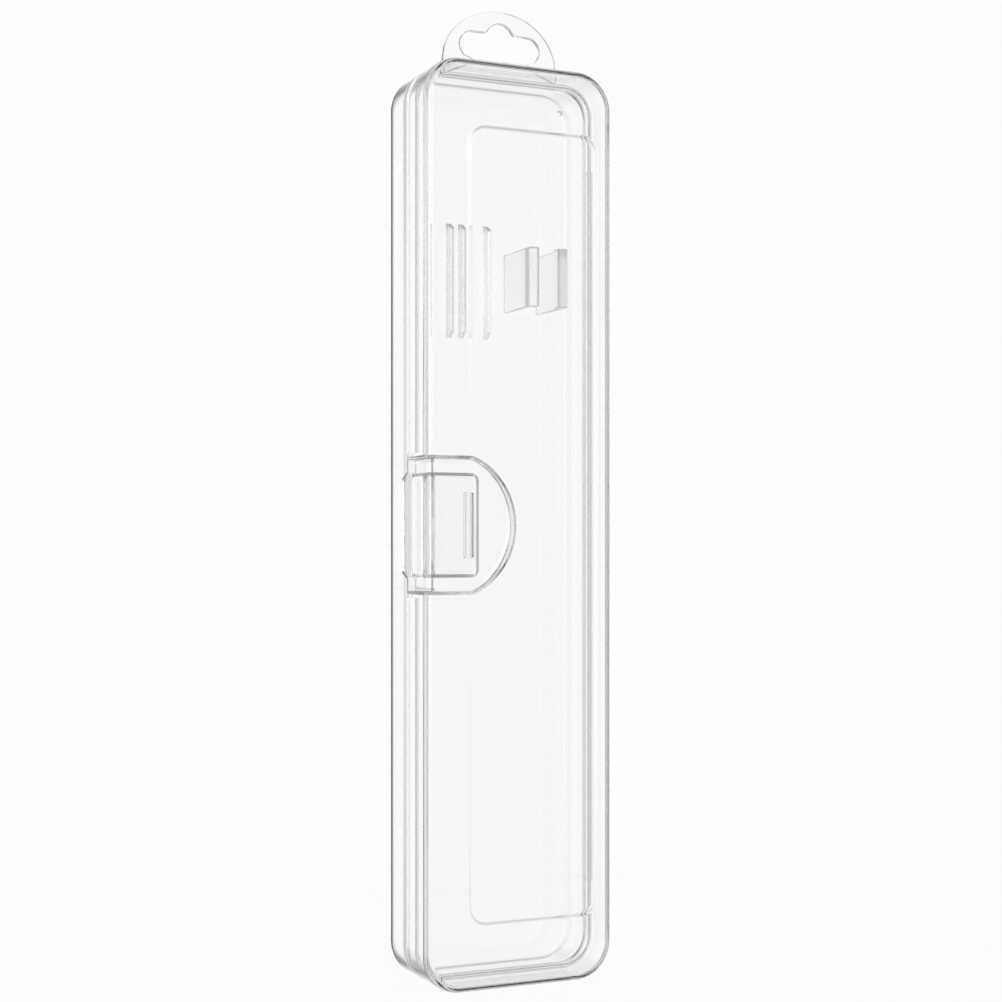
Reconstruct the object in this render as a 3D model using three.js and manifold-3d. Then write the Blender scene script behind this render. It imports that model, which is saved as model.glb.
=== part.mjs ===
// A clear moulded travel case for one toothbrush, closed and lying on its back.
// X runs across the case from the latch side to the hinge side, Y runs along it to the hang tab,
// and Z points up out of the lid. The origin is the middle of the back face.
import * as THREE from "three";
import { mergeVertices } from "three/addons/utils/BufferGeometryUtils.js";
import Module from "manifold-3d";

const wasm = await Module();
wasm.setup();

// The two half shells, in millimetres
const caseLength = 215;
const caseWidth = 48;
const baseDepth = 11.8;
const lidDepth = 11.6;
const seamGap = 0.2;
const wall = 1.3;
const cornerRadius = 9;
const edgeFillet = 2;
const innerFillet = 0.8;

// The lip of the base that the lid closes over
const lipHeight = 3.8;
const lipThickness = 1;
const lipRoot = 2.5;
const lipGap = 0.3;

// The finger recess, straight from the side to its shoulder and then one arc, in a pan let into the lid.
// Its floor slopes down from just before the slot of the flap to the far end.
const recessLength = 30.4;
const recessShoulder = 12.1;
const recessReach = 22.3;
const recessSideDepth = 2.4;
const recessSlopeLead = 0.9;
const recessSlopeDrop = 1.2;
const panGap = 0.3;

// The latch flap, which lies flush in the recess
const flapLength = 24.1;
const flapReach = 13.7;
const flapThickness = 1.5;
const flapClearance = 0.3;
const flapCornerRadius = 1.9;
const flapInnerRadius = 0.5;
const slotFromSide = 9.8;
const slotWidth = 2.1;
const slotLength = 14.9;

// The catch on the recess floor that the slot of the flap snaps over
const catchClearance = 0.35;
const catchBelowFace = 0.5;
const catchLeadIn = 0.4;

// The thin web that the flap bends on, let into the wall of the base
const latchWebThickness = 0.5;
const latchWebBelowSeam = 2.8;
const latchWebAboveSeam = 3.4;
const latchWebTaper = 1.5;
const latchWebClearance = 0.3;

// The folded web along the other side that the lid turns on
const hingeLength = 172;
const hingeBulge = 1.1;
const hingeHalfHeight = 1.3;
const hingeThickness = 0.45;

// The shallow panel and the gate mark on the face of the lid
const panelFromLatchSide = 11.1;
const panelFromHingeSide = 4.4;
const panelFromEnds = 15.6;
const panelDepth = 0.4;
const panelCornerRadius = 4;
const gateMarkRadius = 0.6;
const gateMarkDepth = 0.4;
const gateMarkFromAxis = 9.9;
const gateMarkFromEnd = 10.7;

// The hang tab at the seam
const tabWidth = 29.5;
const tabStraight = 2.4;
const tabHeight = 15.1;
const tabThickness = 1.2;
const hangSlotWidth = 20.7;
const hangSlotHeight = 6.3;
const hangSlotCentre = 6.5;
const hangBumpRadius = 3.5;
const hangBumpTop = 12.1;

// The spring clip for the brush neck
const clipLength = 14.1;
const clipFromEnd = 48.2;
const clipFromAxis = 10.45;
const clipGap = 7.5;
const jawThickness = 1.2;
const jawHeight = 15.4;
const hookReach = 1.3;
const hookHeight = 3.8;
const hookUndercut = 1.1;
const hookLeadIn = 0.5;

// The low ribs beside the clip
const ribLength = 27.6;
const ribHeight = 2.4;
const ribThickness = 1.3;
const ribEndTaper = 1.5;
const ribsFromAxis = { outer: -9.2, middle: -6, inner: 0.7 };

// Facets of the round stretches, and how far a cutting solid runs past what it cuts
const arcSegments = 6;
const filletSegments = 4;
const gateMarkSides = 16;
const overrun = 6;
const mergeDistance = 1e-4;

// Places worked out from the sizes above
const latchSide = -caseWidth / 2;
const hingeSide = caseWidth / 2;
const tabEnd = caseLength / 2;
const lidRim = baseDepth + seamGap;
const lidFace = lidRim + lidDepth;
const hingeHeight = baseDepth + seamGap / 2;
const recessFloor = lidFace - flapThickness - flapClearance;
const recessEnd = latchSide + recessReach;
const flapFoot = lidRim + latchWebAboveSeam;
const slotNearEdge = latchSide + slotFromSide;
const slopeStart = slotNearEdge - recessSlopeLead;
const clipCentre = tabEnd - clipFromEnd;

// A closed geometry as a solid that can be joined and cut.
function solid(geometry) {
  geometry.deleteAttribute("normal");
  geometry.deleteAttribute("uv");
  const merged = mergeVertices(geometry, mergeDistance);
  const mesh = new wasm.Mesh({
    numProp: 3,
    vertProperties: new Float32Array(merged.getAttribute("position").array),
    triVerts: new Uint32Array(merged.index.array),
  });
  return new wasm.Manifold(mesh);
}

// A solid as a named mesh of clear plastic.
function piece(name, body, color, opacity) {
  const { vertProperties, triVerts } = body.getMesh();
  const geometry = new THREE.BufferGeometry();
  geometry.setAttribute("position", new THREE.BufferAttribute(vertProperties, 3));
  geometry.setIndex(new THREE.BufferAttribute(triVerts, 1));
  geometry.computeVertexNormals();
  const material = new THREE.MeshStandardMaterial({
    color,
    opacity,
    transparent: true,
    roughness: 0.12,
    metalness: 0,
  });
  const mesh = new THREE.Mesh(geometry, material);
  mesh.name = name;
  return mesh;
}

// A rectangle about the origin with round corners.
function roundedRectangle(width, length, radius) {
  const right = width / 2 - radius;
  const top = length / 2 - radius;
  const quarter = Math.PI / 2;
  const shape = new THREE.Shape();
  shape.absarc(right, top, radius, 0, quarter, false);
  shape.absarc(-right, top, radius, quarter, 2 * quarter, false);
  shape.absarc(-right, -top, radius, 2 * quarter, 3 * quarter, false);
  shape.absarc(right, -top, radius, 3 * quarter, 4 * quarter, false);
  shape.closePath();
  return shape;
}

// The outline of the case, seen from above, drawn in by an inset.
function caseOutline(inset) {
  return roundedRectangle(caseWidth - 2 * inset, caseLength - 2 * inset, cornerRadius - inset);
}

// A polygon through its corners, given as [x, y].
function polygon(corners) {
  return new THREE.Shape(corners.map(([x, y]) => new THREE.Vector2(x, y)));
}

// An outline in the XY plane, made solid from one height to another.
function plate(shape, bottom, top) {
  const options = { depth: top - bottom, bevelEnabled: false, curveSegments: arcSegments };
  const geometry = new THREE.ExtrudeGeometry(shape, options);
  return solid(geometry.translate(0, 0, bottom));
}

// The case's outline, drawn in by an inset, as a block whose top and bottom edges are rounded.
function caseBlock(inset, bottom, top, fillet) {
  const geometry = new THREE.ExtrudeGeometry(caseOutline(inset), {
    depth: top - bottom - 2 * fillet,
    bevelEnabled: true,
    bevelThickness: fillet,
    bevelSize: fillet,
    bevelOffset: -fillet,
    bevelSegments: filletSegments,
    curveSegments: arcSegments,
  });
  return solid(geometry.translate(0, 0, bottom + fillet));
}

// A section in the XZ plane, drawn out along Y about a centre.
function bar(section, length, centre) {
  const options = { depth: length, bevelEnabled: false, curveSegments: arcSegments };
  const geometry = new THREE.ExtrudeGeometry(section, options);
  geometry.rotateX(Math.PI / 2);
  return solid(geometry.translate(0, centre + length / 2, 0));
}

// An outline in the YZ plane, made solid from one X to another.
function cheek(shape, near, far) {
  const options = { depth: far - near, bevelEnabled: false, curveSegments: arcSegments };
  const geometry = new THREE.ExtrudeGeometry(shape, options);
  const alongY = new THREE.Vector3(0, 1, 0);
  const alongZ = new THREE.Vector3(0, 0, 1);
  const alongX = new THREE.Vector3(1, 0, 0);
  geometry.applyMatrix4(new THREE.Matrix4().makeBasis(alongY, alongZ, alongX));
  return solid(geometry.translate(near, 0, 0));
}

// A box between two corners.
function box(low, high) {
  const from = new THREE.Vector3(...low);
  const to = new THREE.Vector3(...high);
  const size = to.clone().sub(from);
  const middle = from.clone().add(to).divideScalar(2);
  const geometry = new THREE.BoxGeometry(size.x, size.y, size.z);
  return solid(geometry.translate(middle.x, middle.y, middle.z));
}

// Everything across the case between two heights.
function layer(bottom, top) {
  const x = caseWidth / 2 + overrun;
  const y = caseLength / 2 + overrun;
  return box([-x, -y, bottom], [x, y, top]);
}

// A ring that follows the case's outline between two insets.
function ring(outerInset, innerInset, bottom, top) {
  const shape = caseOutline(outerInset);
  shape.holes.push(caseOutline(innerInset));
  return plate(shape, bottom, top);
}

// The web of the latch seen from the side: its foot is shorter than the flap that it carries.
function latchWebOutline(clearance) {
  const foot = baseDepth - latchWebBelowSeam;
  const half = flapLength / 2 + clearance;
  const footHalf = half - latchWebTaper;
  return polygon([
    [-footHalf, foot],
    [footHalf, foot],
    [half, baseDepth],
    [half, flapFoot],
    [-half, flapFoot],
    [-half, baseDepth],
  ]);
}

// The back tray: floor, walls and the lip that stands up inside the lid.
function baseShell() {
  const innerInset = wall + lipGap + lipThickness;
  const outside = caseBlock(0, 0, baseDepth + 2 * edgeFillet, edgeFillet);
  const inside = caseBlock(wall, wall, baseDepth + overrun, innerFillet);
  const tray = outside.subtract(inside).subtract(layer(baseDepth, baseDepth + overrun));
  const lipFoot = ring(wall / 2, innerInset, baseDepth - lipRoot, baseDepth);
  const lip = ring(wall + lipGap, innerInset, baseDepth - lipRoot, baseDepth + lipHeight);
  const notchHalf = recessLength / 2 + wall + lipGap;
  const lipNotch = box(
    [latchSide, -notchHalf, baseDepth],
    [latchSide + Math.max(recessSideDepth + wall, innerInset) + lipGap, notchHalf, lidFace],
  );
  const webPocket = cheek(
    latchWebOutline(latchWebClearance),
    latchSide - overrun,
    latchSide + latchWebThickness,
  );
  return tray.add(lipFoot).add(lip).subtract(lipNotch).subtract(webPocket);
}

// The outline of the finger recess, which runs in from the latch side, drawn out by a margin.
function recessOutline(margin) {
  const half = recessLength / 2;
  const rise = recessReach - recessShoulder;
  const radius = (half * half + rise * rise) / (2 * rise);
  const centre = recessEnd - radius;
  const turn = Math.asin((half + margin) / (radius + margin));
  const shape = new THREE.Shape();
  shape.moveTo(latchSide - overrun, -half - margin);
  shape.lineTo(centre, -half - margin);
  shape.absarc(centre, 0, radius + margin, -turn, turn, false);
  shape.lineTo(latchSide - overrun, half + margin);
  shape.closePath();
  return shape;
}

// The height of the recess floor at a place across the case.
function recessFloorAt(x) {
  const share = Math.max(0, x - slopeStart) / (recessEnd - slopeStart);
  return recessFloor - recessSlopeDrop * share;
}

// What the finger recess takes out of the front half, grown by a margin on every side.
function recess(margin) {
  const half = recessLength / 2 + margin;
  const top = lidFace + overrun;
  const section = polygon([
    [latchSide - 2 * overrun, recessFloor - margin],
    [slopeStart, recessFloor - margin],
    [recessEnd + margin, recessFloorAt(recessEnd + margin) - margin],
    [recessEnd + margin + overrun, top],
    [latchSide - 2 * overrun, top],
  ]);
  const front = plate(recessOutline(margin), 0, top).intersect(bar(section, 2 * (half + overrun), 0));
  const side = box(
    [latchSide - overrun, -half, lidRim - overrun],
    [latchSide + recessSideDepth + margin, half, top],
  );
  return front.add(side);
}

// The outside of the front half, as a full block.
function lidBlock() {
  const whole = caseBlock(0, lidRim - 2 * edgeFillet, lidFace, edgeFillet);
  return whole.subtract(layer(lidRim - 2 * overrun, lidRim));
}

// What the shallow panel takes off the face of the lid.
function panelCut() {
  const width = caseWidth - panelFromLatchSide - panelFromHingeSide;
  const length = caseLength - 2 * panelFromEnds;
  const shift = (panelFromLatchSide - panelFromHingeSide) / 2;
  const outline = roundedRectangle(width, length, panelCornerRadius);
  return plate(outline, lidFace - panelDepth, lidFace + overrun).translate([shift, 0, 0]);
}

// The front half: face, walls, the place of the recess's pan, the shallow panel and the gate mark.
function lidShell() {
  const inside = caseBlock(wall, lidRim - overrun, lidFace - wall, innerFillet);
  const mark = new THREE.CylinderGeometry(gateMarkRadius, gateMarkRadius, 2 * gateMarkDepth, gateMarkSides);
  mark.rotateX(Math.PI / 2);
  mark.translate(gateMarkFromAxis, tabEnd - gateMarkFromEnd, lidFace);
  return lidBlock()
    .subtract(inside)
    .subtract(recess(wall + panGap))
    .subtract(panelCut())
    .subtract(solid(mark));
}

// The pan of the finger recess: its floor and walls, flush with the face and the side of the lid.
function recessPan() {
  return lidBlock().intersect(recess(wall)).subtract(recess(0)).subtract(panelCut());
}

// The latch flap: a leg up the side, a leg over the face, round free corners and a slot.
function latchFlap() {
  const tip = latchSide + flapReach;
  const under = lidFace - flapThickness;
  const inner = latchSide + flapThickness;
  const quarter = Math.PI / 2;
  const section = new THREE.Shape();
  section.moveTo(latchSide, flapFoot);
  section.lineTo(inner, flapFoot);
  section.absarc(inner + flapInnerRadius, under - flapInnerRadius, flapInnerRadius, 2 * quarter, quarter, true);
  section.lineTo(tip, under);
  section.lineTo(tip, lidFace);
  section.absarc(latchSide + edgeFillet, lidFace - edgeFillet, edgeFillet, quarter, 2 * quarter, false);
  section.closePath();
  const roundTip = plate(
    roundedRectangle(2 * flapReach, flapLength, flapCornerRadius),
    0,
    lidFace + overrun,
  ).translate([latchSide, 0, 0]);
  const slot = box(
    [slotNearEdge, -slotLength / 2, under - overrun],
    [slotNearEdge + slotWidth, slotLength / 2, lidFace + overrun],
  );
  return bar(section, flapLength, 0).intersect(roundTip).subtract(slot);
}

// The catch: a ridge on the recess floor, sloped where the slot slides over it.
function catchRidge() {
  const near = slotNearEdge + catchClearance;
  const far = slotNearEdge + slotWidth - catchClearance;
  const top = lidFace - catchBelowFace;
  const section = polygon([
    [near, recessFloorAt(near)],
    [far, recessFloorAt(far)],
    [far, top - catchLeadIn],
    [far - catchLeadIn, top],
    [near, top],
  ]);
  return bar(section, slotLength - 2 * catchClearance, 0);
}

// The web that carries the flap, flush with the outside of the base.
function latchWeb() {
  return cheek(latchWebOutline(0), latchSide, latchSide + latchWebThickness);
}

// The lid's hinge web, folded outwards in a half ellipse from wall to wall.
function hingeWeb() {
  const quarter = Math.PI / 2;
  const innerBulge = hingeBulge - hingeThickness;
  const innerHalf = hingeHalfHeight - hingeThickness;
  const section = new THREE.Shape();
  section.absellipse(hingeSide, hingeHeight, hingeBulge, hingeHalfHeight, -quarter, quarter, false);
  section.absellipse(hingeSide, hingeHeight, innerBulge, innerHalf, quarter, -quarter, true);
  section.closePath();
  return bar(section, hingeLength, 0);
}

// The hang tab with its slot for a peg, flush with the rim of the base.
function hangTab() {
  const bottom = baseDepth - tabThickness;
  const shape = new THREE.Shape();
  shape.moveTo(-tabWidth / 2, tabEnd);
  shape.lineTo(tabWidth / 2, tabEnd);
  shape.absellipse(0, tabEnd + tabStraight, tabWidth / 2, tabHeight - tabStraight, 0, Math.PI, false);
  shape.closePath();
  const slotOutline = roundedRectangle(hangSlotWidth, hangSlotHeight, hangSlotHeight / 2);
  const slot = plate(slotOutline, bottom - overrun, baseDepth + overrun);
  const bumpOutline = new THREE.Shape();
  bumpOutline.absarc(0, hangBumpTop - hangBumpRadius - hangSlotCentre, hangBumpRadius, 0, 2 * Math.PI, false);
  const bump = plate(bumpOutline, bottom - overrun, baseDepth + overrun);
  const hole = slot.add(bump).translate([0, tabEnd + hangSlotCentre, 0]);
  return plate(shape, bottom, baseDepth).subtract(hole);
}

// One jaw of the clip: an upright wall whose top is a hook towards the other jaw, sloped beneath, bevelled above.
// The side is -1 for the jaw towards the latch and 1 for the jaw towards the hinge.
function clipJaw(side) {
  const face = clipFromAxis + (side * clipGap) / 2;
  const hookFoot = jawHeight - hookHeight;
  const corners = [
    [0, 0],
    [0, hookFoot],
    [-hookReach, hookFoot + hookUndercut],
    [-hookReach, jawHeight - hookLeadIn],
    [hookLeadIn - hookReach, jawHeight],
    [jawThickness, jawHeight],
    [jawThickness, 0],
  ];
  const section = polygon(corners.map(([out, up]) => [face + side * out, wall + up]));
  return bar(section, clipLength, clipCentre);
}

// One low rib on the floor, with sloped ends.
function restRib(fromAxis) {
  const half = ribLength / 2;
  const outline = polygon([
    [clipCentre - half, wall],
    [clipCentre + half, wall],
    [clipCentre + half - ribEndTaper, wall + ribHeight],
    [clipCentre - half + ribEndTaper, wall + ribHeight],
  ]);
  return cheek(outline, fromAxis - ribThickness / 2, fromAxis + ribThickness / 2);
}

const base = new THREE.Group();
base.add(piece("base_shell", baseShell(), "#eef2f3", 0.35));
base.add(piece("hang_tab", hangTab(), "#f1f4f5", 0.4));
base.add(piece("clip_jaw_latch_side", clipJaw(-1), "#e6ebec", 0.5));
base.add(piece("clip_jaw_hinge_side", clipJaw(1), "#e6ebec", 0.5));
for (const [place, fromAxis] of Object.entries(ribsFromAxis)) {
  base.add(piece("rest_rib_" + place, restRib(fromAxis), "#e9eeef", 0.45));
}
base.add(piece("lid_hinge_web", hingeWeb(), "#eef2f3", 0.4));
base.add(piece("latch_hinge_web", latchWeb(), "#e4e9ea", 0.5));

const lid = new THREE.Group();
lid.add(piece("lid_shell", lidShell(), "#eef2f3", 0.35));
lid.add(piece("recess_pan", recessPan(), "#eaeff0", 0.4));
lid.add(piece("catch_ridge", catchRidge(), "#e6ebec", 0.5));

const latch = new THREE.Group();
latch.add(piece("latch_flap", latchFlap(), "#eaeff0", 0.45));

const travelCase = new THREE.Group();
travelCase.add(base, lid, latch);

export default travelCase;
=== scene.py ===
"""The looks of a clear moulded travel case for one toothbrush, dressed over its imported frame.

Lengths are in metres. X runs from the latch side to the hinge side, Y along the case to the hang tab, and
Z up out of the lid. An outline is a closed loop of points with unit normals that point out of it. A profile
is a list of pairs: how far the outline is drawn out along its normals, and the height at which that ring
lies.
"""
import math

import bmesh
import bpy
import numpy as np
from mathutils import Matrix, Vector


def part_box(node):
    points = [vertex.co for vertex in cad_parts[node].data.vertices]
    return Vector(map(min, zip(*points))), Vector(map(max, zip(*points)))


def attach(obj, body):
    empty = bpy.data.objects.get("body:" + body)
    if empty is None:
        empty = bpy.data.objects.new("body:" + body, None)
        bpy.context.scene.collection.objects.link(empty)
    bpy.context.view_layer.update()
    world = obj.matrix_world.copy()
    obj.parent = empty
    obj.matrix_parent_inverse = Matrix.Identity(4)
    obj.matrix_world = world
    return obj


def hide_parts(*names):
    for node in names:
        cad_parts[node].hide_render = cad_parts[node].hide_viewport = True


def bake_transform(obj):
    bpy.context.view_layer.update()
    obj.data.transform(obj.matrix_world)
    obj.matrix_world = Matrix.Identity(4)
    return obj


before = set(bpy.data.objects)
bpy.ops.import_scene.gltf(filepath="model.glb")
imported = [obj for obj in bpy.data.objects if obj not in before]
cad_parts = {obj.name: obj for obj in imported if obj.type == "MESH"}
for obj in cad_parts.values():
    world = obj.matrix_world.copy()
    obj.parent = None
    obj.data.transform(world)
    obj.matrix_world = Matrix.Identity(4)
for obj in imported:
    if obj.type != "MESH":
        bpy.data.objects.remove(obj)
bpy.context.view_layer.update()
MM = 0.001

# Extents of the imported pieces
base_low, base_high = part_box("base_shell")
lid_low, lid_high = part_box("lid_shell")
flap_low, flap_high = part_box("latch_flap")
ridge_low, ridge_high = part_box("catch_ridge")
web_low, web_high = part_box("latch_hinge_web")
fold_low, fold_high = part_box("lid_hinge_web")
tab_low, tab_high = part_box("hang_tab")
LATCH_SIDE = base_low.x
HINGE_SIDE = base_high.x
TAB_END = base_high.y
RIM = tab_high.z
LIP_TOP = base_high.z
LID_RIM = lid_low.z
FACE = lid_high.z

# The two half shells and the lip between them. The lid's inner rim edge is an arc that stops, at an angle in
# degrees, just short of the rim
WALL = 1.3 * MM
CORNER_RADIUS = 9 * MM
EDGE_FILLET = 2 * MM
INNER_FILLET = 0.4 * MM
FLOOR_FILLET = 1 * MM
RIM_EDGE = 0.25 * MM
INNER_RIM_EDGE_STOP = 255
LIP_INSET = 1.6 * MM
LIP_THICKNESS = 1 * MM
LIP_ROOT = 2.5 * MM
LIP_BLEND = 1.2 * MM
LIP_EDGE = 0.48 * MM
LIP_NOTCH_HALF = 16.8 * MM
LIP_NOTCH_DEPTH = 4 * MM

# The finger recess in the lid
RECESS_HALF = 15.2 * MM
RECESS_SHOULDER = 12.1 * MM
RECESS_REACH = 22.3 * MM
RECESS_SHOULDER_RADIUS = 4 * MM
RECESS_SIDE_DEPTH = 2.4 * MM
RECESS_FLOOR_EDGE = 1 * MM
RECESS_RIM_EDGE = 0.8 * MM
RECESS_WALL = 0.8 * MM
FLAP_CLEARANCE = 0.3 * MM
SLOPE_LEAD = 0.9 * MM
SLOPE_DROP = 1.2 * MM

# The shallow panel, with the slope of its edge in degrees, and the gate mark on the face of the lid
PANEL_FROM_LATCH_SIDE = 11.1 * MM
PANEL_FROM_HINGE_SIDE = 4.4 * MM
PANEL_FROM_ENDS = 15.6 * MM
PANEL_DEPTH = 0.4 * MM
PANEL_EDGE_SLOPE = 30
PANEL_RADIUS = 4 * MM
GATE_MARK_RADIUS = 0.7 * MM
GATE_MARK_DEPTH = 0.5 * MM
GATE_MARK_FROM_AXIS = 9.9 * MM
GATE_MARK_FROM_END = 10.7 * MM

# The latch flap, its slot and its web
FLAP_THICKNESS = 1.5 * MM
FLAP_CORNER_RADIUS = 1.9 * MM
FLAP_INNER_RADIUS = 0.5 * MM
FLAP_EDGE = 0.1 * MM
FLAP_TIP_BEVEL = 1.25 * MM
FLAP_SIDE_BEVEL = 0.8 * MM
SLOT_FROM_SIDE = 9.8 * MM
SLOT_WIDTH = 2.1 * MM
SLOT_HALF_LENGTH = 7.45 * MM
SLOT_CORNER = 0.3 * MM
SLOT_RIM = 0.25 * MM
SLOPE_START = LATCH_SIDE + SLOT_FROM_SIDE - SLOPE_LEAD
CATCH_LEAD_IN = 0.4 * MM
WEB_TAPER = 1.5 * MM
WEB_CLEARANCE = 0.3 * MM
WEB_GROOVE = 0.2 * MM
WEB_GROOVE_HALF_WIDTH = 2.4 * MM

# The folded hinge web, and the hang tab with the power that blends its slot and its bump
FOLD_THICKNESS = 0.45 * MM
TAB_STRAIGHT = 2.4 * MM
TAB_EDGE = 0.3 * MM
HANG_SLOT_WIDTH = 20.7 * MM
HANG_SLOT_HEIGHT = 6.3 * MM
HANG_SLOT_CENTRE = 6.5 * MM
HANG_BUMP_RADIUS = 3.5 * MM
HANG_BUMP_TOP = 12.1 * MM
SLOT_BLEND = 14

# The clip jaws and the ribs on the floor
JAW_THICKNESS = 1.2 * MM
JAW_HEIGHT = 15.4 * MM
HOOK_REACH = 1.3 * MM
HOOK_HEIGHT = 3.8 * MM
HOOK_UNDERCUT = 1.1 * MM
HOOK_LEAD_IN = 0.5 * MM
RIB_END_TAPER = 1.5 * MM
RIB_ROUND_TOP = 0.6 * MM
SMALL_EDGE = 0.2 * MM
BAR_END_EDGE = 0.15 * MM

# How finely round stretches are drawn, the hair gap between pieces, how far a cutter overruns, the angle
# from which an edge is shaded sharp, and the least share of a direction that is divided by
CORNER_STEPS = 20
FILLET_STEPS = 10
HAIR = 0.03 * MM
OVERRUN = 6 * MM
SHARP_ANGLE = math.radians(32)
LEAST_SHARE = 1e-9

# Clear polypropylene: its refraction, the smoke in its depth, the width and height of its mould ripples, the
# width of its clouds of haze, the cloud levels between which haze sets in, and the tint of its shadow
POLYPROPYLENE_IOR = 1.49
SMOKE = "#868888"
SMOKE_DENSITY = 10
RIPPLE_WIDTH = 14 * MM
RIPPLE_HEIGHT = 0.012 * MM
HAZE_WIDTH = 22 * MM
HAZE_STARTS = 0.35
HAZE_FULL = 0.75
SHADOW_TINT = "#f4f5f5"

# The floor that the case lies on, and the share of its light that is its own glow
WHITE = "#ffffff"
FLOOR_INNER_RADIUS = 10 * MM
FLOOR_RADIUS = 6
FLOOR_RINGS = 24
FLOOR_SPOKES = 64
FLOOR_GAP = 0.2 * MM
FLOOR_GLOW = 0.94

# Seen through the case, floor and sky are white in a few fields and grey between them, which draws the
# edges of clear plastic. A field lies about the line of sight, its mirror image, and a view from the hinge
# side and from the latch side, from white to grey between two cosines. Another takes in low views over the
# ends of the case, from grey to white between two slopes.
WHITE_COSINE = 0.962
GREY_COSINE = 0.82
FLOOR_LEVEL = 1.0
SKY_LEVEL = 0.65
GREY_LEVEL = 0.3
SIDE_SIGHT_RISE = math.radians(25)
HINGE_SIDE_LEVEL = 0.9
LATCH_SIDE_LEVEL = 0.5
END_LEVEL = 0.9
END_GREY_SLOPE = 0.85
END_WHITE_SLOPE = 1.1

# The soft lamp
LAMP_PLACE = Vector((-0.5, 0.5, 1.2))
LAMP_SIZE = 1.6
LAMP_POWER = 13

# The photograph's view, other directions that the stage uses, and how often light may bounce
FRAME_PIXELS = 1002
CAMERA_FOCAL_PIXELS = 1823
CAMERA_HORIZON_PIXEL = 550
CAMERA_TURN = math.radians(24.69)
CAMERA_PLACE = Vector((-181.4, -5.7, 406.8)) * MM
CAMERA_NEAR = 10 * MM
CAMERA_BACK = Vector((-math.sin(CAMERA_TURN), 0, math.cos(CAMERA_TURN)))
MIRRORED_SIGHT = Vector((-CAMERA_BACK.x, 0, CAMERA_BACK.z))
HINGE_SIDE_SIGHT = Vector((math.cos(SIDE_SIGHT_RISE), 0, math.sin(SIDE_SIGHT_RISE)))
LATCH_SIDE_SIGHT = Vector((-HINGE_SIDE_SIGHT.x, 0, HINGE_SIDE_SIGHT.z))
ALONG_CASE = Vector((0, 1, 0))
UP = Vector((0, 0, 1))
LIGHT_BOUNCES = 24


def outward_normals(points):
    """Unit normals of a closed anticlockwise outline, square to the chord between a point's neighbours."""
    chord = np.roll(points, -1, axis=0) - np.roll(points, 1, axis=0)
    normals = np.stack([chord[:, 1], -chord[:, 0]], axis=1)
    return normals / np.linalg.norm(normals, axis=1, keepdims=True)


def rounded_loop(corners, radii, steps=CORNER_STEPS):
    """A polygon with round corners. Each corner is a rational quadratic curve from side to side, which is an
    arc of a circle because its middle weight is the cosine of half the turn."""
    corners = np.asarray(corners, float)
    radii = np.broadcast_to(np.asarray(radii, float), len(corners))
    following = np.roll(corners, -1, axis=0)
    if np.sum(corners[:, 0] * following[:, 1] - corners[:, 1] * following[:, 0]) < 0:
        corners, radii = corners[::-1], radii[::-1]
    ahead = np.roll(corners, -1, axis=0) - corners
    behind = np.roll(corners, 1, axis=0) - corners
    ahead /= np.linalg.norm(ahead, axis=1, keepdims=True)
    behind /= np.linalg.norm(behind, axis=1, keepdims=True)
    turn = np.pi - np.arccos(np.clip(np.sum(ahead * behind, axis=1), -1, 1))
    reach = (radii * np.tan(turn / 2))[:, None]
    start, middle, end = (p[:, None] for p in (corners + behind * reach, corners, corners + ahead * reach))
    along = np.linspace(0, 1, steps + 1)[None, :, None]
    first, last = (1 - along) ** 2, along**2
    pull = 2 * along * (1 - along) * np.cos(turn / 2)[:, None, None]
    points = ((first * start + pull * middle + last * end) / (first + pull + last)).reshape(-1, 2)
    return points, outward_normals(points)


def rectangle(low, high, radii):
    """A rectangle between two corners, with round corners."""
    corners = [(low[0], low[1]), (high[0], low[1]), (high[0], high[1]), (low[0], high[1])]
    return rounded_loop(corners, radii)


def arc(offset, height, radius, start, stop, steps=FILLET_STEPS):
    """An arc of a profile about a centre, between two angles in degrees: 0 points out of the outline and
    90 points up."""
    turn = np.radians(np.linspace(start, stop, steps + 1))
    return np.stack([offset + radius * np.cos(turn), height + radius * np.sin(turn)], axis=1)


def ease(start, stop, steps=FILLET_STEPS):
    """A profile's S-shaped stretch: the offset eases from start to stop while the height runs evenly."""
    along = np.linspace(0, 1, steps + 1)
    eased = along * along * (3 - 2 * along)
    offset = start[0] + (stop[0] - start[0]) * eased
    return np.stack([offset, start[1] + (stop[1] - start[1]) * along], axis=1)


def soft_step(offset, low, high, slope, steps=FILLET_STEPS):
    """A profile's step up between two flats: two equal arcs that meet half way, at the slope given in
    degrees."""
    turn = math.radians(slope)
    radius = (high - low) / 2 / (1 - math.cos(turn))
    reach = radius * math.sin(turn)
    return np.concatenate([
        arc(offset - reach, low + radius, radius, -90, slope - 90, steps),
        arc(offset + reach, high - radius, radius, slope + 90, 90, steps)[1:],
    ])


def carried(loop, *profile, axes="xyz"):
    """A profile carried round an outline, as rings of points: ring k is the outline moved along its normals
    by the profile's offset k, laid at its height k. axes names the frame's axes of the outline's pair and of
    the height."""
    points, outward = loop
    rows = np.concatenate([np.atleast_2d(stretch) for stretch in profile])
    flat = points[None] + rows[:, 0, None, None] * outward[None]
    height = np.broadcast_to(rows[:, 1, None, None], flat.shape[:2] + (1,))
    rings = np.concatenate([flat, height], axis=2)
    return rings[:, :, [axes.index(axis) for axis in "xyz"]]


def soft_bar(loop, low, high, edge, axes):
    """An outline drawn out from low to high, with both end edges rounded by quarter circles."""
    return carried(
        loop, arc(-edge, low + edge, edge, -90, 0), arc(-edge, high - edge, edge, 0, 90), axes=axes
    )


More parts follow.
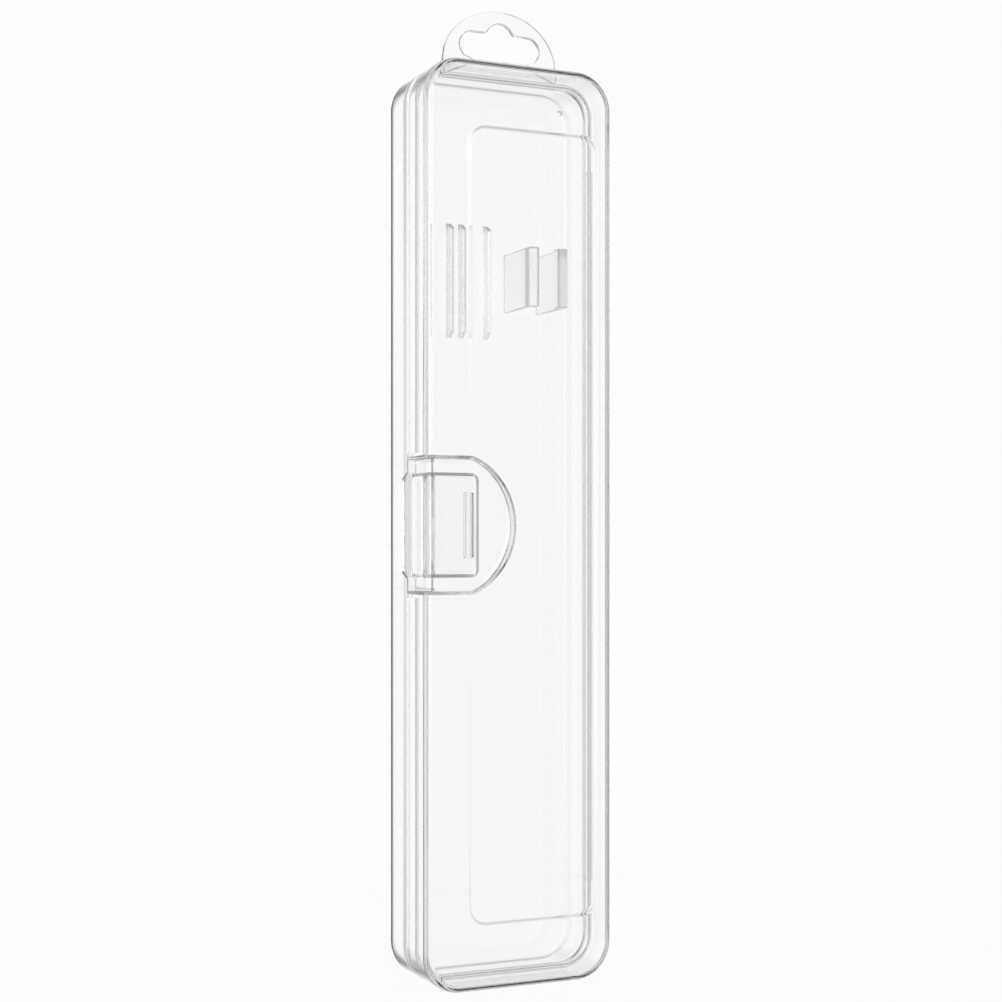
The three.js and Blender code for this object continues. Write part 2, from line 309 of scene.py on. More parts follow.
def closed_piece(name, rings, ends_meet=False, first_cap_in_strips=False):
    """Rings joined in order into a closed surface, with a cap on each end unless the ends meet. A cap in
    strips joins each point of the ring to its mirror image, so that a bent cap keeps straight creases."""
    count, size = rings.shape[:2]
    index = np.arange(count * size).reshape(count, size)
    rows = np.vstack([index, index[:1]]) if ends_meet else index
    beside = np.roll(rows, -1, axis=1)
    quads = np.stack([rows[:-1], beside[:-1], beside[1:], rows[1:]], axis=-1).reshape(-1, 4)
    one_side, mirrored = index[0, : size // 2], index[0, ::-1][: size // 2]
    strips = np.stack([one_side[:-1], one_side[1:], mirrored[1:], mirrored[:-1]], axis=-1)
    first_cap = strips.tolist() if first_cap_in_strips else [index[0].tolist()]
    caps = [] if ends_meet else first_cap + [index[-1].tolist()]
    mesh = bpy.data.meshes.new(name)
    mesh.from_pydata(rings.reshape(-1, 3).tolist(), [], quads.tolist() + caps)
    shell = bmesh.new()
    shell.from_mesh(mesh)
    bmesh.ops.recalc_face_normals(shell, faces=shell.faces)
    shell.to_mesh(mesh)
    shell.free()
    piece = bpy.data.objects.new(name, mesh)
    bpy.context.collection.objects.link(piece)
    return piece


def settle(piece):
    """Makes a piece's modifiers part of its mesh."""
    graph = bpy.context.evaluated_depsgraph_get()
    mesh = bpy.data.meshes.new_from_object(
        piece.evaluated_get(graph), preserve_all_data_layers=True, depsgraph=graph
    )
    piece.modifiers.clear()
    drawn = piece.data
    piece.data = mesh
    bpy.data.meshes.remove(drawn)
    mesh.name = piece.name


def cut(piece, *tools):
    """Cuts each tool out of a piece, in turn, and then deletes the tool."""
    for tool in tools:
        step = piece.modifiers.new("cut", "BOOLEAN")
        step.operation = "DIFFERENCE"
        step.solver = "EXACT"
        step.object = tool
        settle(piece)
        bpy.data.objects.remove(tool)
    return piece


def case_loop():
    """The outline of the case seen from above."""
    return rectangle((LATCH_SIDE, -TAB_END), (HINGE_SIDE, TAB_END), CORNER_RADIUS)


def base_shell():
    """The back tray: one profile carried round the case, up the outside, over the lip and down to the
    floor, less a notch in the lip and a pocket in the wall where the latch's web lies."""
    lip_inner = LIP_INSET + LIP_THICKNESS
    blend_foot = RIM - LIP_ROOT
    tray = closed_piece("clear_base", carried(
        case_loop(),
        arc(-EDGE_FILLET, EDGE_FILLET, EDGE_FILLET, -90, 0),
        arc(-RIM_EDGE, RIM - RIM_EDGE, RIM_EDGE, 0, 90),
        arc(-LIP_INSET + RIM_EDGE, RIM + RIM_EDGE, RIM_EDGE, -90, -180),
        arc(-LIP_INSET - LIP_EDGE, LIP_TOP - LIP_EDGE, LIP_EDGE, 0, 90),
        arc(-lip_inner + LIP_EDGE, LIP_TOP - LIP_EDGE, LIP_EDGE, 90, 180),
        ease((-lip_inner, blend_foot + LIP_BLEND), (-WALL, blend_foot - LIP_BLEND)),
        arc(-WALL - FLOOR_FILLET, WALL + FLOOR_FILLET, FLOOR_FILLET, 0, -90),
    ))
    notch_loop = rectangle(
        (LATCH_SIDE - OVERRUN, -LIP_NOTCH_HALF), (LATCH_SIDE + LIP_NOTCH_DEPTH, LIP_NOTCH_HALF), LIP_EDGE
    )
    notch = closed_piece("notch", carried(notch_loop, [(0, RIM - HAIR), (0, FACE)]))
    pocket_depth = web_high.x + 2 * HAIR
    pocket_rows = [(0, LATCH_SIDE - OVERRUN), (0, pocket_depth)]
    pocket = closed_piece("pocket", carried(web_outline(WEB_CLEARANCE), pocket_rows, axes="yzx"))
    return cut(tray, notch, pocket)


def web_outline(clearance):
    """The latch's web seen from the side: its foot is shorter than the flap that it carries."""
    half = web_high.y + clearance
    foot = half - WEB_TAPER
    corners = [
        (-foot, web_low.z - clearance),
        (foot, web_low.z - clearance),
        (half, RIM),
        (half, web_high.z),
        (-half, web_high.z),
        (-half, RIM),
    ]
    return rounded_loop(corners, SMALL_EDGE)


def recess_loop(margin):
    """The finger recess seen from above: straight sides from the latch side, short shoulder arcs tangent to
    them, and one large arc tangent to both shoulders. A margin draws the whole outline out."""
    rise = RECESS_REACH - RECESS_SHOULDER
    radius = (RECESS_HALF**2 + rise**2) / (2 * rise)
    centre = LATCH_SIDE + RECESS_REACH - radius
    shoulder_y = RECESS_HALF - RECESS_SHOULDER_RADIUS
    shoulder_x = math.sqrt((radius - RECESS_SHOULDER_RADIUS) ** 2 - shoulder_y**2)
    meet = math.atan2(shoulder_y, shoulder_x)
    shoulder_turn = np.linspace(meet, math.pi / 2, CORNER_STEPS)
    large_turn = np.linspace(-meet, meet, 4 * CORNER_STEPS)[1:-1]
    turn = np.concatenate([-shoulder_turn[::-1], large_turn, shoulder_turn])
    outward = np.stack([np.cos(turn), np.sin(turn)], axis=1)
    on_shoulder = np.abs(turn) >= meet
    swing = np.where(on_shoulder, RECESS_SHOULDER_RADIUS, radius) + margin
    origin_x = centre + np.where(on_shoulder, shoulder_x, 0)
    origin_y = np.where(on_shoulder, np.sign(turn) * shoulder_y, 0)
    points = np.stack([origin_x, origin_y], axis=1) + swing[:, None] * outward
    run_in = np.array([LATCH_SIDE - OVERRUN, SLOPE_START])
    lower = np.stack([run_in, np.full(2, points[0, 1])], axis=1)
    upper = np.stack([run_in[::-1], np.full(2, points[-1, 1])], axis=1)
    sides = np.repeat(outward[[0, -1]], 2, axis=0)
    return np.vstack([lower, points, upper]), np.vstack([sides[:2], outward, sides[2:]])


def floor_drop(x):
    """How far the recess floor has dropped at a place across the case: nothing before the slope, and then
    evenly."""
    slope_length = LATCH_SIDE + RECESS_REACH - SLOPE_START
    return SLOPE_DROP * np.clip((x - SLOPE_START) / slope_length, 0, None)


def recess_block(name, margin, floor):
    """The recess as a block: its floor edge is rounded and follows the floor's slope, and its rim opens out
    in a quarter circle. The floor is cut into strips along the case, so that its crease runs straight."""
    points, outward = recess_loop(margin)
    rings = carried(
        (points, outward),
        arc(-RECESS_FLOOR_EDGE, floor + RECESS_FLOOR_EDGE, RECESS_FLOOR_EDGE, -90, 0),
        arc(RECESS_RIM_EDGE, FACE - RECESS_RIM_EDGE + HAIR, RECESS_RIM_EDGE, 180, 90),
        (RECESS_RIM_EDGE, FACE + OVERRUN),
    )
    on_floor = slice(0, FILLET_STEPS + 1)
    rings[on_floor, :, 2] -= floor_drop(rings[on_floor, :, 0])
    return closed_piece(name, rings, first_cap_in_strips=True)


def side_channel(name, margin):
    """The recess where it runs down the latch side: a channel with rounded bottom corners and an opened
    mouth."""
    half = RECESS_HALF + margin
    bottom = LATCH_SIDE + RECESS_SIDE_DEPTH + margin
    mouth = LATCH_SIDE - HAIR
    corners = [
        (mouth - OVERRUN, -half - OVERRUN),
        (mouth, -half - OVERRUN),
        (mouth, -half),
        (bottom, -half),
        (bottom, half),
        (mouth, half),
        (mouth, half + OVERRUN),
        (mouth - OVERRUN, half + OVERRUN),
    ]
    inner, opened = RECESS_FLOOR_EDGE, RECESS_RIM_EDGE
    radii = [opened, opened, opened, inner, inner, opened, opened, opened]
    rows = [(0, LID_RIM - OVERRUN), (0, FACE + 2 * OVERRUN)]
    return closed_piece(name, carried(rounded_loop(corners, radii), rows))


def panel_block():
    """What the shallow panel takes off the face: a soft step carried round its outline."""
    outline = rectangle(
        (LATCH_SIDE + PANEL_FROM_LATCH_SIDE, -TAB_END + PANEL_FROM_ENDS),
        (HINGE_SIDE - PANEL_FROM_HINGE_SIDE, TAB_END - PANEL_FROM_ENDS),
        PANEL_RADIUS,
    )
    edge = soft_step(0, FACE - PANEL_DEPTH, FACE + HAIR, PANEL_EDGE_SLOPE)
    return closed_piece("panel", carried(outline, edge, (edge[-1, 0], FACE + OVERRUN)))


def gate_mark():
    """What the gate mark takes off the face: a round pin whose lower edge is a quarter circle."""
    turn = np.linspace(0, 2 * np.pi, 4 * CORNER_STEPS, endpoint=False)
    outward = np.stack([np.cos(turn), np.sin(turn)], axis=1)
    centre = np.array([GATE_MARK_FROM_AXIS, TAB_END - GATE_MARK_FROM_END])
    return closed_piece("mark", carried(
        (centre + GATE_MARK_RADIUS * outward, outward),
        arc(-GATE_MARK_DEPTH, FACE, GATE_MARK_DEPTH, -90, 0),
        (0, FACE + OVERRUN),
    ))


def lid_shell():
    """The front half: the outer block less the recess, less a hollow that the recess's walls stand into,
    less the panel and the gate mark."""
    floor = FACE - FLAP_THICKNESS - FLAP_CLEARANCE
    hollow = closed_piece("hollow", carried(
        case_loop(),
        arc(-WALL - INNER_FILLET, FACE - WALL - INNER_FILLET, INNER_FILLET, 90, 0),
        arc(-WALL + RIM_EDGE, LID_RIM + RIM_EDGE, RIM_EDGE, 180, INNER_RIM_EDGE_STOP),
        (-WALL + RIM_EDGE, LID_RIM - OVERRUN),
    ))
    cut(
        hollow,
        recess_block("recess_wall", RECESS_WALL, floor - WALL),
        side_channel("channel_wall", RECESS_WALL),
    )
    lid = closed_piece("clear_lid", carried(
        case_loop(),
        arc(-EDGE_FILLET, FACE - EDGE_FILLET, EDGE_FILLET, 90, 0),
        arc(-RIM_EDGE, LID_RIM + RIM_EDGE, RIM_EDGE, 0, -90),
    ))
    return cut(
        lid,
        recess_block("recess", 0, floor),
        side_channel("channel", 0),
        hollow,
        panel_block(),
        gate_mark(),
    )


def latch_flap():
    """The flap: an L-shaped section carried along the case, less its slot. Its free corners are drawn back
    in quarter circles, its tip is bevelled, and towards its two sides its outer face sinks evenly to a bevel
    as deep as the tip's."""
    inner = flap_low.x + FLAP_THICKNESS
    under = flap_high.z - FLAP_THICKNESS
    half = flap_high.y
    corners = [
        (flap_low.x, flap_low.z),
        (inner, flap_low.z),
        (inner, under),
        (flap_high.x, under),
        (flap_high.x, flap_high.z - FLAP_TIP_BEVEL),
        (flap_high.x - FLAP_TIP_BEVEL, flap_high.z),
        (flap_low.x, flap_high.z),
    ]
    radii = [FLAP_EDGE, FLAP_EDGE, FLAP_INNER_RADIUS, FLAP_EDGE, FLAP_EDGE, FLAP_EDGE, EDGE_FILLET]
    points, outward = rounded_loop(corners, radii)
    turn = np.radians(np.linspace(0, 90, 2 * CORNER_STEPS))
    along = half - FLAP_CORNER_RADIUS * (1 - np.sin(turn))
    sunk = FLAP_TIP_BEVEL * np.clip(1 - (half - along) / FLAP_SIDE_BEVEL, 0, None)
    drawn_back = FLAP_CORNER_RADIUS * (1 - np.cos(turn))
    rows = np.stack([np.r_[-sunk[::-1], -sunk], np.r_[-along[::-1], along]], axis=1)
    outer_face = np.clip(np.maximum(outward[:, 1], -outward[:, 0]), 0, None)
    rings = carried((points, outward * outer_face[:, None]), rows, axes="xzy")
    at_tip = points[:, 0] > flap_high.x - FLAP_TIP_BEVEL - 2 * FLAP_EDGE
    rings[:, :, 0] -= np.outer(np.r_[drawn_back[::-1], drawn_back], at_tip)
    flap = closed_piece("clear_latch_flap", rings)
    near = flap_low.x + SLOT_FROM_SIDE
    slot_loop = rectangle((near, -SLOT_HALF_LENGTH), (near + SLOT_WIDTH, SLOT_HALF_LENGTH), SLOT_CORNER)
    slot = closed_piece("slot", carried(
        slot_loop,
        (SLOT_RIM, under - OVERRUN),
        arc(SLOT_RIM, under + SLOT_RIM - HAIR, SLOT_RIM, 270, 180),
        arc(SLOT_RIM, flap_high.z - SLOT_RIM + HAIR, SLOT_RIM, 180, 90),
        (SLOT_RIM, flap_high.z + OVERRUN),
    ))
    return cut(flap, slot)


def catch_ridge():
    """The catch: a soft-edged ridge on the sloping recess floor, bevelled where the slot slides over it."""
    floor = FACE - FLAP_THICKNESS - FLAP_CLEARANCE + HAIR
    corners = [
        (ridge_low.x, floor - floor_drop(ridge_low.x)),
        (ridge_high.x, floor - floor_drop(ridge_high.x)),
        (ridge_high.x, ridge_high.z - CATCH_LEAD_IN),
        (ridge_high.x - CATCH_LEAD_IN, ridge_high.z),
        (ridge_low.x, ridge_high.z),
    ]
    loop = rounded_loop(corners, SMALL_EDGE)
    return closed_piece("clear_catch", soft_bar(loop, ridge_low.y, ridge_high.y, BAR_END_EDGE, "xzy"))


def latch_web():
    """The web that the flap bends on: level after level of a thin rectangle, as wide as the web's outline at
    that height, with a groove along the bend whose depth is a parabola, deepest at the seam."""
    levels = np.linspace(web_low.z + HAIR, web_high.z - HAIR, 4 * CORNER_STEPS)
    half = web_high.y - WEB_TAPER * np.clip((RIM - levels) / (RIM - web_low.z), 0, 1)
    across = np.linspace(-1, 1, CORNER_STEPS)
    groove = WEB_GROOVE * np.clip(1 - ((levels - RIM) / WEB_GROOVE_HALF_WIDTH) ** 2, 0, None)
    ones = np.ones_like(across)
    outer_x = np.outer(web_low.x + groove, ones)
    inner_x = np.outer(np.full_like(levels, web_high.x), ones)
    x = np.concatenate([outer_x, inner_x], axis=1)
    y = np.outer(half, np.r_[across, across[::-1]])
    z = np.outer(levels, np.r_[ones, ones])
    return closed_piece("clear_latch_web", np.stack([x, y, z], axis=2))


def hinge_fold():
    """The lid's hinge web: a section between two half ellipses, drawn out along the hinge side."""
    middle = (fold_low.z + fold_high.z) / 2
    turn = np.linspace(-np.pi / 2, np.pi / 2, 2 * CORNER_STEPS)
    ellipse = np.stack([np.cos(turn), np.sin(turn)], axis=1)
    bulge = fold_high.x - fold_low.x
    half_height = fold_high.z - middle
    outer = ellipse * (bulge, half_height)
    inner = ellipse[::-1] * (bulge - FOLD_THICKNESS, half_height - FOLD_THICKNESS)
    points = np.concatenate([outer, inner]) + (fold_low.x + HAIR, middle)
    loop = (points, outward_normals(points))
    end_edge = FOLD_THICKNESS / 4
    return closed_piece("clear_hinge_web", soft_bar(loop, fold_low.y, fold_high.y, end_edge, "xzy"))


def peg_slot_reach(sight):
    """How far the peg slot's edge lies from the slot's centre along unit directions: a blend that follows
    the farther of a stadium and a round bump in its upper edge."""
    across, up = np.abs(sight[:, 0]), sight[:, 1]
    end_radius = HANG_SLOT_HEIGHT / 2
    end_centre = HANG_SLOT_WIDTH / 2 - end_radius
    to_flat = end_radius / np.maximum(np.abs(up), LEAST_SHARE)
    to_end = end_centre * across + np.sqrt(np.clip(end_radius**2 - (end_centre * up) ** 2, 0, None))
    to_slot = np.where(to_flat * across < end_centre, to_flat, to_end)
    bump_up = HANG_BUMP_TOP - HANG_BUMP_RADIUS - HANG_SLOT_CENTRE
    to_bump = bump_up * up + np.sqrt(HANG_BUMP_RADIUS**2 - (bump_up * across) ** 2)
    return (to_slot**SLOT_BLEND + to_bump**SLOT_BLEND) ** (1 / SLOT_BLEND)


def hang_tab():
    """The hang tab: a soft-edged band between its outline, a half ellipse on a short straight, and the edge
    of the peg slot, point for point in the same direction from the slot's centre."""
    half = tab_high.x
    shoulder = tab_low.y + TAB_STRAIGHT
    turn = np.linspace(0, np.pi, 8 * CORNER_STEPS)
    dome = np.stack([half * np.cos(turn), shoulder + (tab_high.y - shoulder) * np.sin(turn)], axis=1)
    root = np.linspace(-half, half, 4 * CORNER_STEPS)
    foot = np.stack([root, np.full_like(root, tab_low.y + HAIR)], axis=1)
    outline = np.concatenate([dome, foot])
    centre = np.array([0, tab_low.y + HANG_SLOT_CENTRE])
    sight = outline - centre
    sight /= np.linalg.norm(sight, axis=1, keepdims=True)
    hole = centre + sight * peg_slot_reach(sight)[:, None]
    low, high, edge = tab_low.z, tab_high.z, TAB_EDGE
    rings = np.concatenate([
        carried(
            (outline, outward_normals(outline)),
            arc(-edge, low + edge, edge, -90, 0),
            arc(-edge, high - edge, edge, 0, 90),
        ),
        carried(
            (hole, outward_normals(hole)),
            arc(edge, high - edge, edge, 90, 180),
            arc(edge, low + edge, edge, 180, 270),
        ),
    ])
    return closed_piece("clear_hang_tab", rings, ends_meet=True)


def clip_jaw(node, side):
    """One jaw of the clip: an upright wall with a hook at its top, a soft-edged section drawn out along the
    brush neck. The side is -1 for the jaw towards the latch and 1 for the jaw towards the hinge."""
    low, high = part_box(node)
    face = low.x + JAW_THICKNESS if side < 0 else high.x - JAW_THICKNESS
    hook_foot = JAW_HEIGHT - HOOK_HEIGHT
    corners = [
        (0, HAIR),
        (0, hook_foot),
        (-HOOK_REACH, hook_foot + HOOK_UNDERCUT),
        (-HOOK_REACH, JAW_HEIGHT - HOOK_LEAD_IN),
        (HOOK_LEAD_IN - HOOK_REACH, JAW_HEIGHT),
        (JAW_THICKNESS, JAW_HEIGHT),
        (JAW_THICKNESS, HAIR),
    ]
    placed = np.array(corners) * (side, 1) + (face, low.z)
    loop = rounded_loop(placed, SMALL_EDGE, FILLET_STEPS)
    rings = soft_bar(loop, low.y, high.y, BAR_END_EDGE, "xzy")
    return closed_piece(node.replace("clip", "clear_clip"), rings)


def rest_rib(node):
    """One low rib on the floor: a section with a round top, drawn out between two sloping ends."""
    low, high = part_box(node)
    radii = [SMALL_EDGE, SMALL_EDGE, RIB_ROUND_TOP, RIB_ROUND_TOP]
    section, _ = rectangle((low.x, low.z + HAIR), (high.x, high.z), radii)
    across, height = section.T
    taper = RIB_END_TAPER * (height - low.z) / (high.z - low.z)
    ends = [np.stack([across, end, height], axis=1) for end in (low.y + taper, high.y - taper)]
    return closed_piece(node.replace("rest", "clear_rest"), np.stack(ends))


def linear(code):
    """An sRGB hex colour as linear red, green, blue and alpha, by the sRGB standard's curve."""
    parts = [int(code[place : place + 2], 16) / 255 for place in (1, 3, 5)]
    return tuple(p / 12.92 if p <= 0.04045 else ((p + 0.055) / 1.055) ** 2.4 for p in parts) + (1.0,)


def add(tree, kind, inputs=None, **settings):
    """Adds a node, sets its properties, and gives each named input a value or a link."""
    made = tree.nodes.new(kind)
    for name, value in settings.items():
        setattr(made, name, value)
    for name, value in (inputs or {}).items():
        if isinstance(value, bpy.types.NodeSocket):
            tree.links.new(value, made.inputs[name])
        else:
            made.inputs[name].default_value = value
    return made


def empty_tree(owner):
    """The node tree of a material or a world, with nothing in it."""
    owner.use_nodes = True
    owner.node_tree.nodes.clear()
    return owner.node_tree


def clear_plastic(name, tint, clarity, polish, haze):
    """Clear injection-moulded polypropylene: see-through with slow mould ripples, with clouds between two
    roughnesses, polish and haze, and with a little smoke in its depth."""
    material = bpy.data.materials.new(name)
    tree = empty_tree(material)
    place = add(tree, "ShaderNodeTexCoord")
    ripple = add(tree, "ShaderNodeTexNoise", {
        "Vector": place.outputs["Object"], "Scale": 1 / RIPPLE_WIDTH, "Detail": 0.0,
    })
    bump = add(tree, "ShaderNodeBump", {
        "Height": ripple.outputs["Fac"],
        "Strength": 1.0,
        "Distance": RIPPLE_HEIGHT,
    })
    clouds = add(tree, "ShaderNodeTexNoise", {"Vector": place.outputs["Object"], "Scale": 1 / HAZE_WIDTH})
    rough = add(tree, "ShaderNodeMapRange", {
        "Value": clouds.outputs["Fac"],
        "From Min": HAZE_STARTS,
        "From Max": HAZE_FULL,
        "To Min": polish,
        "To Max": haze,
    })
    surface = add(tree, "ShaderNodeBsdfPrincipled", {
        "Base Color": linear(tint),
        "Roughness": rough.outputs["Result"],
        "IOR": POLYPROPYLENE_IOR,
        "Transmission Weight": clarity,
        "Normal": bump.outputs["Normal"],
    })
    path = add(tree, "ShaderNodeLightPath")
    veil = add(tree, "ShaderNodeBsdfTransparent", {"Color": linear(SHADOW_TINT)})
    lit = add(tree, "ShaderNodeMixShader", {
        0: path.outputs["Is Shadow Ray"], 1: surface.outputs["BSDF"], 2: veil.outputs["BSDF"],
    })
    depth = add(tree, "ShaderNodeVolumeAbsorption", {"Color": linear(SMOKE), "Density": SMOKE_DENSITY})
    add(tree, "ShaderNodeOutputMaterial", {
        "Surface": lit.outputs["Shader"],
        "Volume": depth.outputs["Volume"],
    })
    return material


# Moulded against polished steel: water-clear and glossy, so that little but its edges and creases shows
polished = clear_plastic("clear_polypropylene_polished", WHITE, clarity=1.0, polish=0.01, haze=0.03)

# Thin walls and ribs off an unpolished core of the mould: what lies behind them blurs, and they look greyer
thin_wall = clear_plastic("clear_polypropylene_thin_walls", WHITE, clarity=1.0, polish=0.14, haze=0.22)

# Webs pressed thin and flexed: stretched polypropylene turns a little milky, with a soft shine on the bend
flexed = clear_plastic("clear_polypropylene_flexed", "#f8f8f8", clarity=0.95, polish=0.08, haze=0.16)


def dress(piece, slot, material, *nodes):
    """Shades a piece smooth between its sharp edges, gives it its finish, and hides the nodes it replaces.
    """
    piece.data.shade_smooth()
    piece.data.set_sharp_from_angle(angle=SHARP_ANGLE)
    piece.data.materials.clear()
    piece.data.materials.append(material)
    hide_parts(*nodes)
    return piece


def even_normals(piece):
    """Lets large flat faces set the shading at their edges, so that flats stay flat beside their fillets."""
    weigh = piece.modifiers.new("even_normals", "WEIGHTED_NORMAL")
    weigh.keep_sharp = True
    settle(piece)
    return piece


def rigid(piece, body, slot, material, *nodes):
    """Finishes a piece that moves with one body."""
    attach(even_normals(dress(piece, slot, material, *nodes)), body)


rigid(base_shell(), "base", "clear_shell", polished, "base_shell")
rigid(hang_tab(), "base", "clear_shell", polished, "hang_tab")
for jaw, jaw_side in (("clip_jaw_latch_side", -1), ("clip_jaw_hinge_side", 1)):
    rigid(clip_jaw(jaw, jaw_side), "base", "clear_fittings", thin_wall, jaw)
for rib in ("rest_rib_outer", "rest_rib_middle", "rest_rib_inner"):
    rigid(rest_rib(rib), "base", "clear_fittings", thin_wall, rib)
rigid(lid_shell(), "lid", "clear_shell", polished, "lid_shell", "recess_pan")
rigid(catch_ridge(), "lid", "clear_fittings", thin_wall, "catch_ridge")
rigid(latch_flap(), "latch", "clear_shell", polished, "latch_flap")

fold = dress(hinge_fold(), "clear_web", flexed, "lid_hinge_web")
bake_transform(fold)
web = dress(latch_web(), "clear_web", flexed, "latch_hinge_web")
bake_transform(web)


def greatest(tree, first, *others):
    """The greatest of several values."""
    for other in others:
        first = add(tree, "ShaderNodeMath", {0: first, 1: other}, operation="MAXIMUM").outputs["Value"]
    return first


def field_level(tree, measure, white, grey_at=GREY_COSINE, white_at=WHITE_COSINE):
    """The brightness of floor or sky for a ray: it rises smoothly from grey to the field's white between two
    values of the ray's measure, which is the cosine of its angle to the field's axis, or its slope."""
    level = add(tree, "ShaderNodeMapRange", {
        "Value": measure,
        "From Min": grey_at,
        "From Max": white_at,
        "To Min": GREY_LEVEL,
        "To Max": white,
    }, interpolation_type="SMOOTHSTEP")
    return level.outputs["Result"]


def ray_cosine(tree, axis):
    """The cosine of the angle between an axis and the ray that meets the floor, without its sign. At a blend
    of one half, the layer weight is one less that cosine."""
    normal = add(tree, "ShaderNodeCombineXYZ", dict(zip("XYZ", axis)))
    facing = add(tree, "ShaderNodeLayerWeight", {"Blend": 0.5, "Normal": normal.outputs["Vector"]})
    cosine = add(tree, "ShaderNodeMath", {0: 1.0, 1: facing.outputs["Facing"]}, operation="SUBTRACT")
    return cosine.outputs["Value"]


def glow_along(tree, axis, white):
    """How brightly the floor glows towards a ray, from the ray's angle to an axis."""
    return field_level(tree, ray_cosine(tree, axis), white)


def white_card():
    """White card for the floor, with a glow of its own where it is seen directly, or in or through the case.
    Under the recess the mirrored field is left out: a strip of painted shade on the floor that keeps the
    outline of the recess dark."""
    material = bpy.data.materials.new("white_card")
    tree = empty_tree(material)
    path = add(tree, "ShaderNodeLightPath")
    place = add(tree, "ShaderNodeTexCoord")
    spot = add(tree, "ShaderNodeSeparateXYZ", {"Vector": place.outputs["Object"]})
    # Painted shade: a strip of floor across the case, under the finger recess, that drops the mirrored white
    # field so that the recess outline shows dark.
    painted_shade_under_recess = add(tree, "ShaderNodeMath", {
        0: spot.outputs["X"], 1: LATCH_SIDE + RECESS_REACH / 2, 2: RECESS_REACH / 2,
    }, operation="COMPARE")
    clear_of_painted_shade = add(tree, "ShaderNodeMath", {
        0: 1.0, 1: painted_shade_under_recess.outputs["Value"],
    }, operation="SUBTRACT")
    mirrored = add(tree, "ShaderNodeMath", {
        0: glow_along(tree, MIRRORED_SIGHT, FLOOR_LEVEL), 1: clear_of_painted_shade.outputs["Value"],
    }, operation="MULTIPLY")
    slope = add(tree, "ShaderNodeMath", {
        0: ray_cosine(tree, ALONG_CASE), 1: ray_cosine(tree, UP),
    }, operation="DIVIDE")
    level = greatest(
        tree,
        path.outputs["Is Camera Ray"],
        mirrored.outputs["Value"],
        glow_along(tree, CAMERA_BACK, FLOOR_LEVEL),
        glow_along(tree, HINGE_SIDE_SIGHT, HINGE_SIDE_LEVEL),
        glow_along(tree, LATCH_SIDE_SIGHT, LATCH_SIDE_LEVEL),
        field_level(tree, slope.outputs["Value"], END_LEVEL, END_GREY_SLOPE, END_WHITE_SLOPE),
    )
    card = add(tree, "ShaderNodeBsdfDiffuse", {"Color": linear(WHITE)})
    glow = add(tree, "ShaderNodeEmission", {"Color": linear(WHITE), "Strength": level})
    kinds = [path.outputs[f"Is {kind} Ray"] for kind in ("Camera", "Glossy", "Transmission")]
    share = add(tree, "ShaderNodeMath", {0: greatest(tree, *kinds), 1: FLOOR_GLOW}, operation="MULTIPLY")
    blend = add(tree, "ShaderNodeMixShader", {
        0: share.outputs["Value"], 1: card.outputs["BSDF"], 2: glow.outputs["Emission"],
    })
    add(tree, "ShaderNodeOutputMaterial", {"Surface": blend.outputs["Shader"]})
    return material


def studio_floor():
    """A round floor: circles about the origin that grow by an even ratio."""
    spread = np.geomspace(FLOOR_INNER_RADIUS, FLOOR_RADIUS, FLOOR_RINGS)
    turn = np.linspace(0, 2 * np.pi, FLOOR_SPOKES, endpoint=False)
    x = np.outer(spread, np.cos(turn))
    y = np.outer(spread, np.sin(turn))
    z = np.full_like(x, base_low.z - FLOOR_GAP)
    rings = np.stack([x, y, z], axis=2)
    count, size = x.shape
    index = np.arange(count * size).reshape(count, size)
    beside = np.roll(index, -1, axis=1)
    quads = np.stack([index[:-1], index[1:], beside[1:], beside[:-1]], axis=-1).reshape(-1, 4)
    mesh = bpy.data.meshes.new("floor")
    mesh.from_pydata(rings.reshape(-1, 3).tolist(), [], quads.tolist() + [index[0].tolist()])
    ground = bpy.data.objects.new("floor", mesh)
    bpy.context.collection.objects.link(ground)
    mesh.materials.append(white_card())


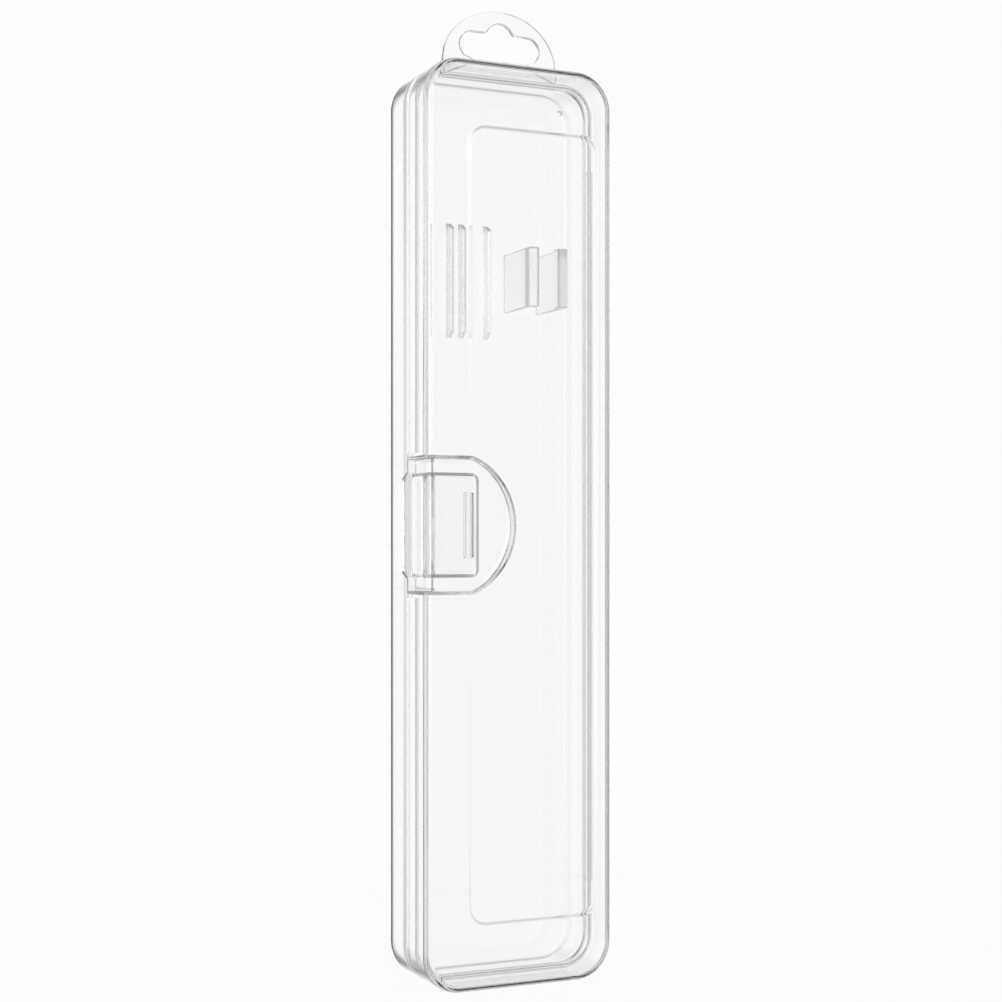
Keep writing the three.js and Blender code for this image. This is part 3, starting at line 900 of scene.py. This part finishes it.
def studio_world():
    """Soft studio surroundings: white behind the case, but grey in and through it, with a lighter field
    where the face of the case mirrors the line of sight."""
    world = bpy.data.worlds.new("studio")
    bpy.context.scene.world = world
    tree = empty_tree(world)
    place = add(tree, "ShaderNodeTexCoord")
    cosine = add(tree, "ShaderNodeVectorMath", {
        0: place.outputs["Generated"], 1: MIRRORED_SIGHT,
    }, operation="DOT_PRODUCT")
    path = add(tree, "ShaderNodeLightPath")
    in_case = field_level(tree, cosine.outputs["Value"], SKY_LEVEL)
    level = greatest(tree, in_case, path.outputs["Is Camera Ray"])
    sky = add(tree, "ShaderNodeBackground", {"Color": linear(WHITE), "Strength": level})
    add(tree, "ShaderNodeOutputWorld", {"Surface": sky.outputs["Background"]})


def soft_lamp(name, place, aim, size, power):
    """A square soft lamp at a place, turned to face a point."""
    data = bpy.data.lights.new(name, "AREA")
    data.size = size
    data.energy = power
    lamp = bpy.data.objects.new(name, data)
    lamp.location = place
    lamp.rotation_euler = (Vector(aim) - place).to_track_quat("-Z", "Y").to_euler()
    bpy.context.collection.objects.link(lamp)


def camera():
    """The photograph's view: level with a point below the middle of the case, from the latch side, with the
    frame shifted along the case so that the long edges stay parallel."""
    right = ALONG_CASE.cross(CAMERA_BACK)
    data = bpy.data.cameras.new("camera")
    data.lens = data.sensor_width * CAMERA_FOCAL_PIXELS / FRAME_PIXELS
    data.shift_y = (CAMERA_HORIZON_PIXEL - FRAME_PIXELS / 2) / FRAME_PIXELS
    data.clip_start = CAMERA_NEAR
    view = bpy.data.objects.new("camera", data)
    turned = Matrix((right, ALONG_CASE, CAMERA_BACK)).transposed().to_4x4()
    view.matrix_world = Matrix.Translation(CAMERA_PLACE) @ turned
    bpy.context.collection.objects.link(view)
    bpy.context.scene.camera = view


studio_floor()
studio_world()
soft_lamp("key_lamp", LAMP_PLACE, (0, 0, 0), LAMP_SIZE, LAMP_POWER)
camera()
scene = bpy.context.scene
scene.view_settings.view_transform = "Standard"
scene.cycles.max_bounces = LIGHT_BOUNCES
scene.cycles.transmission_bounces = LIGHT_BOUNCES
scene.cycles.glossy_bounces = LIGHT_BOUNCES
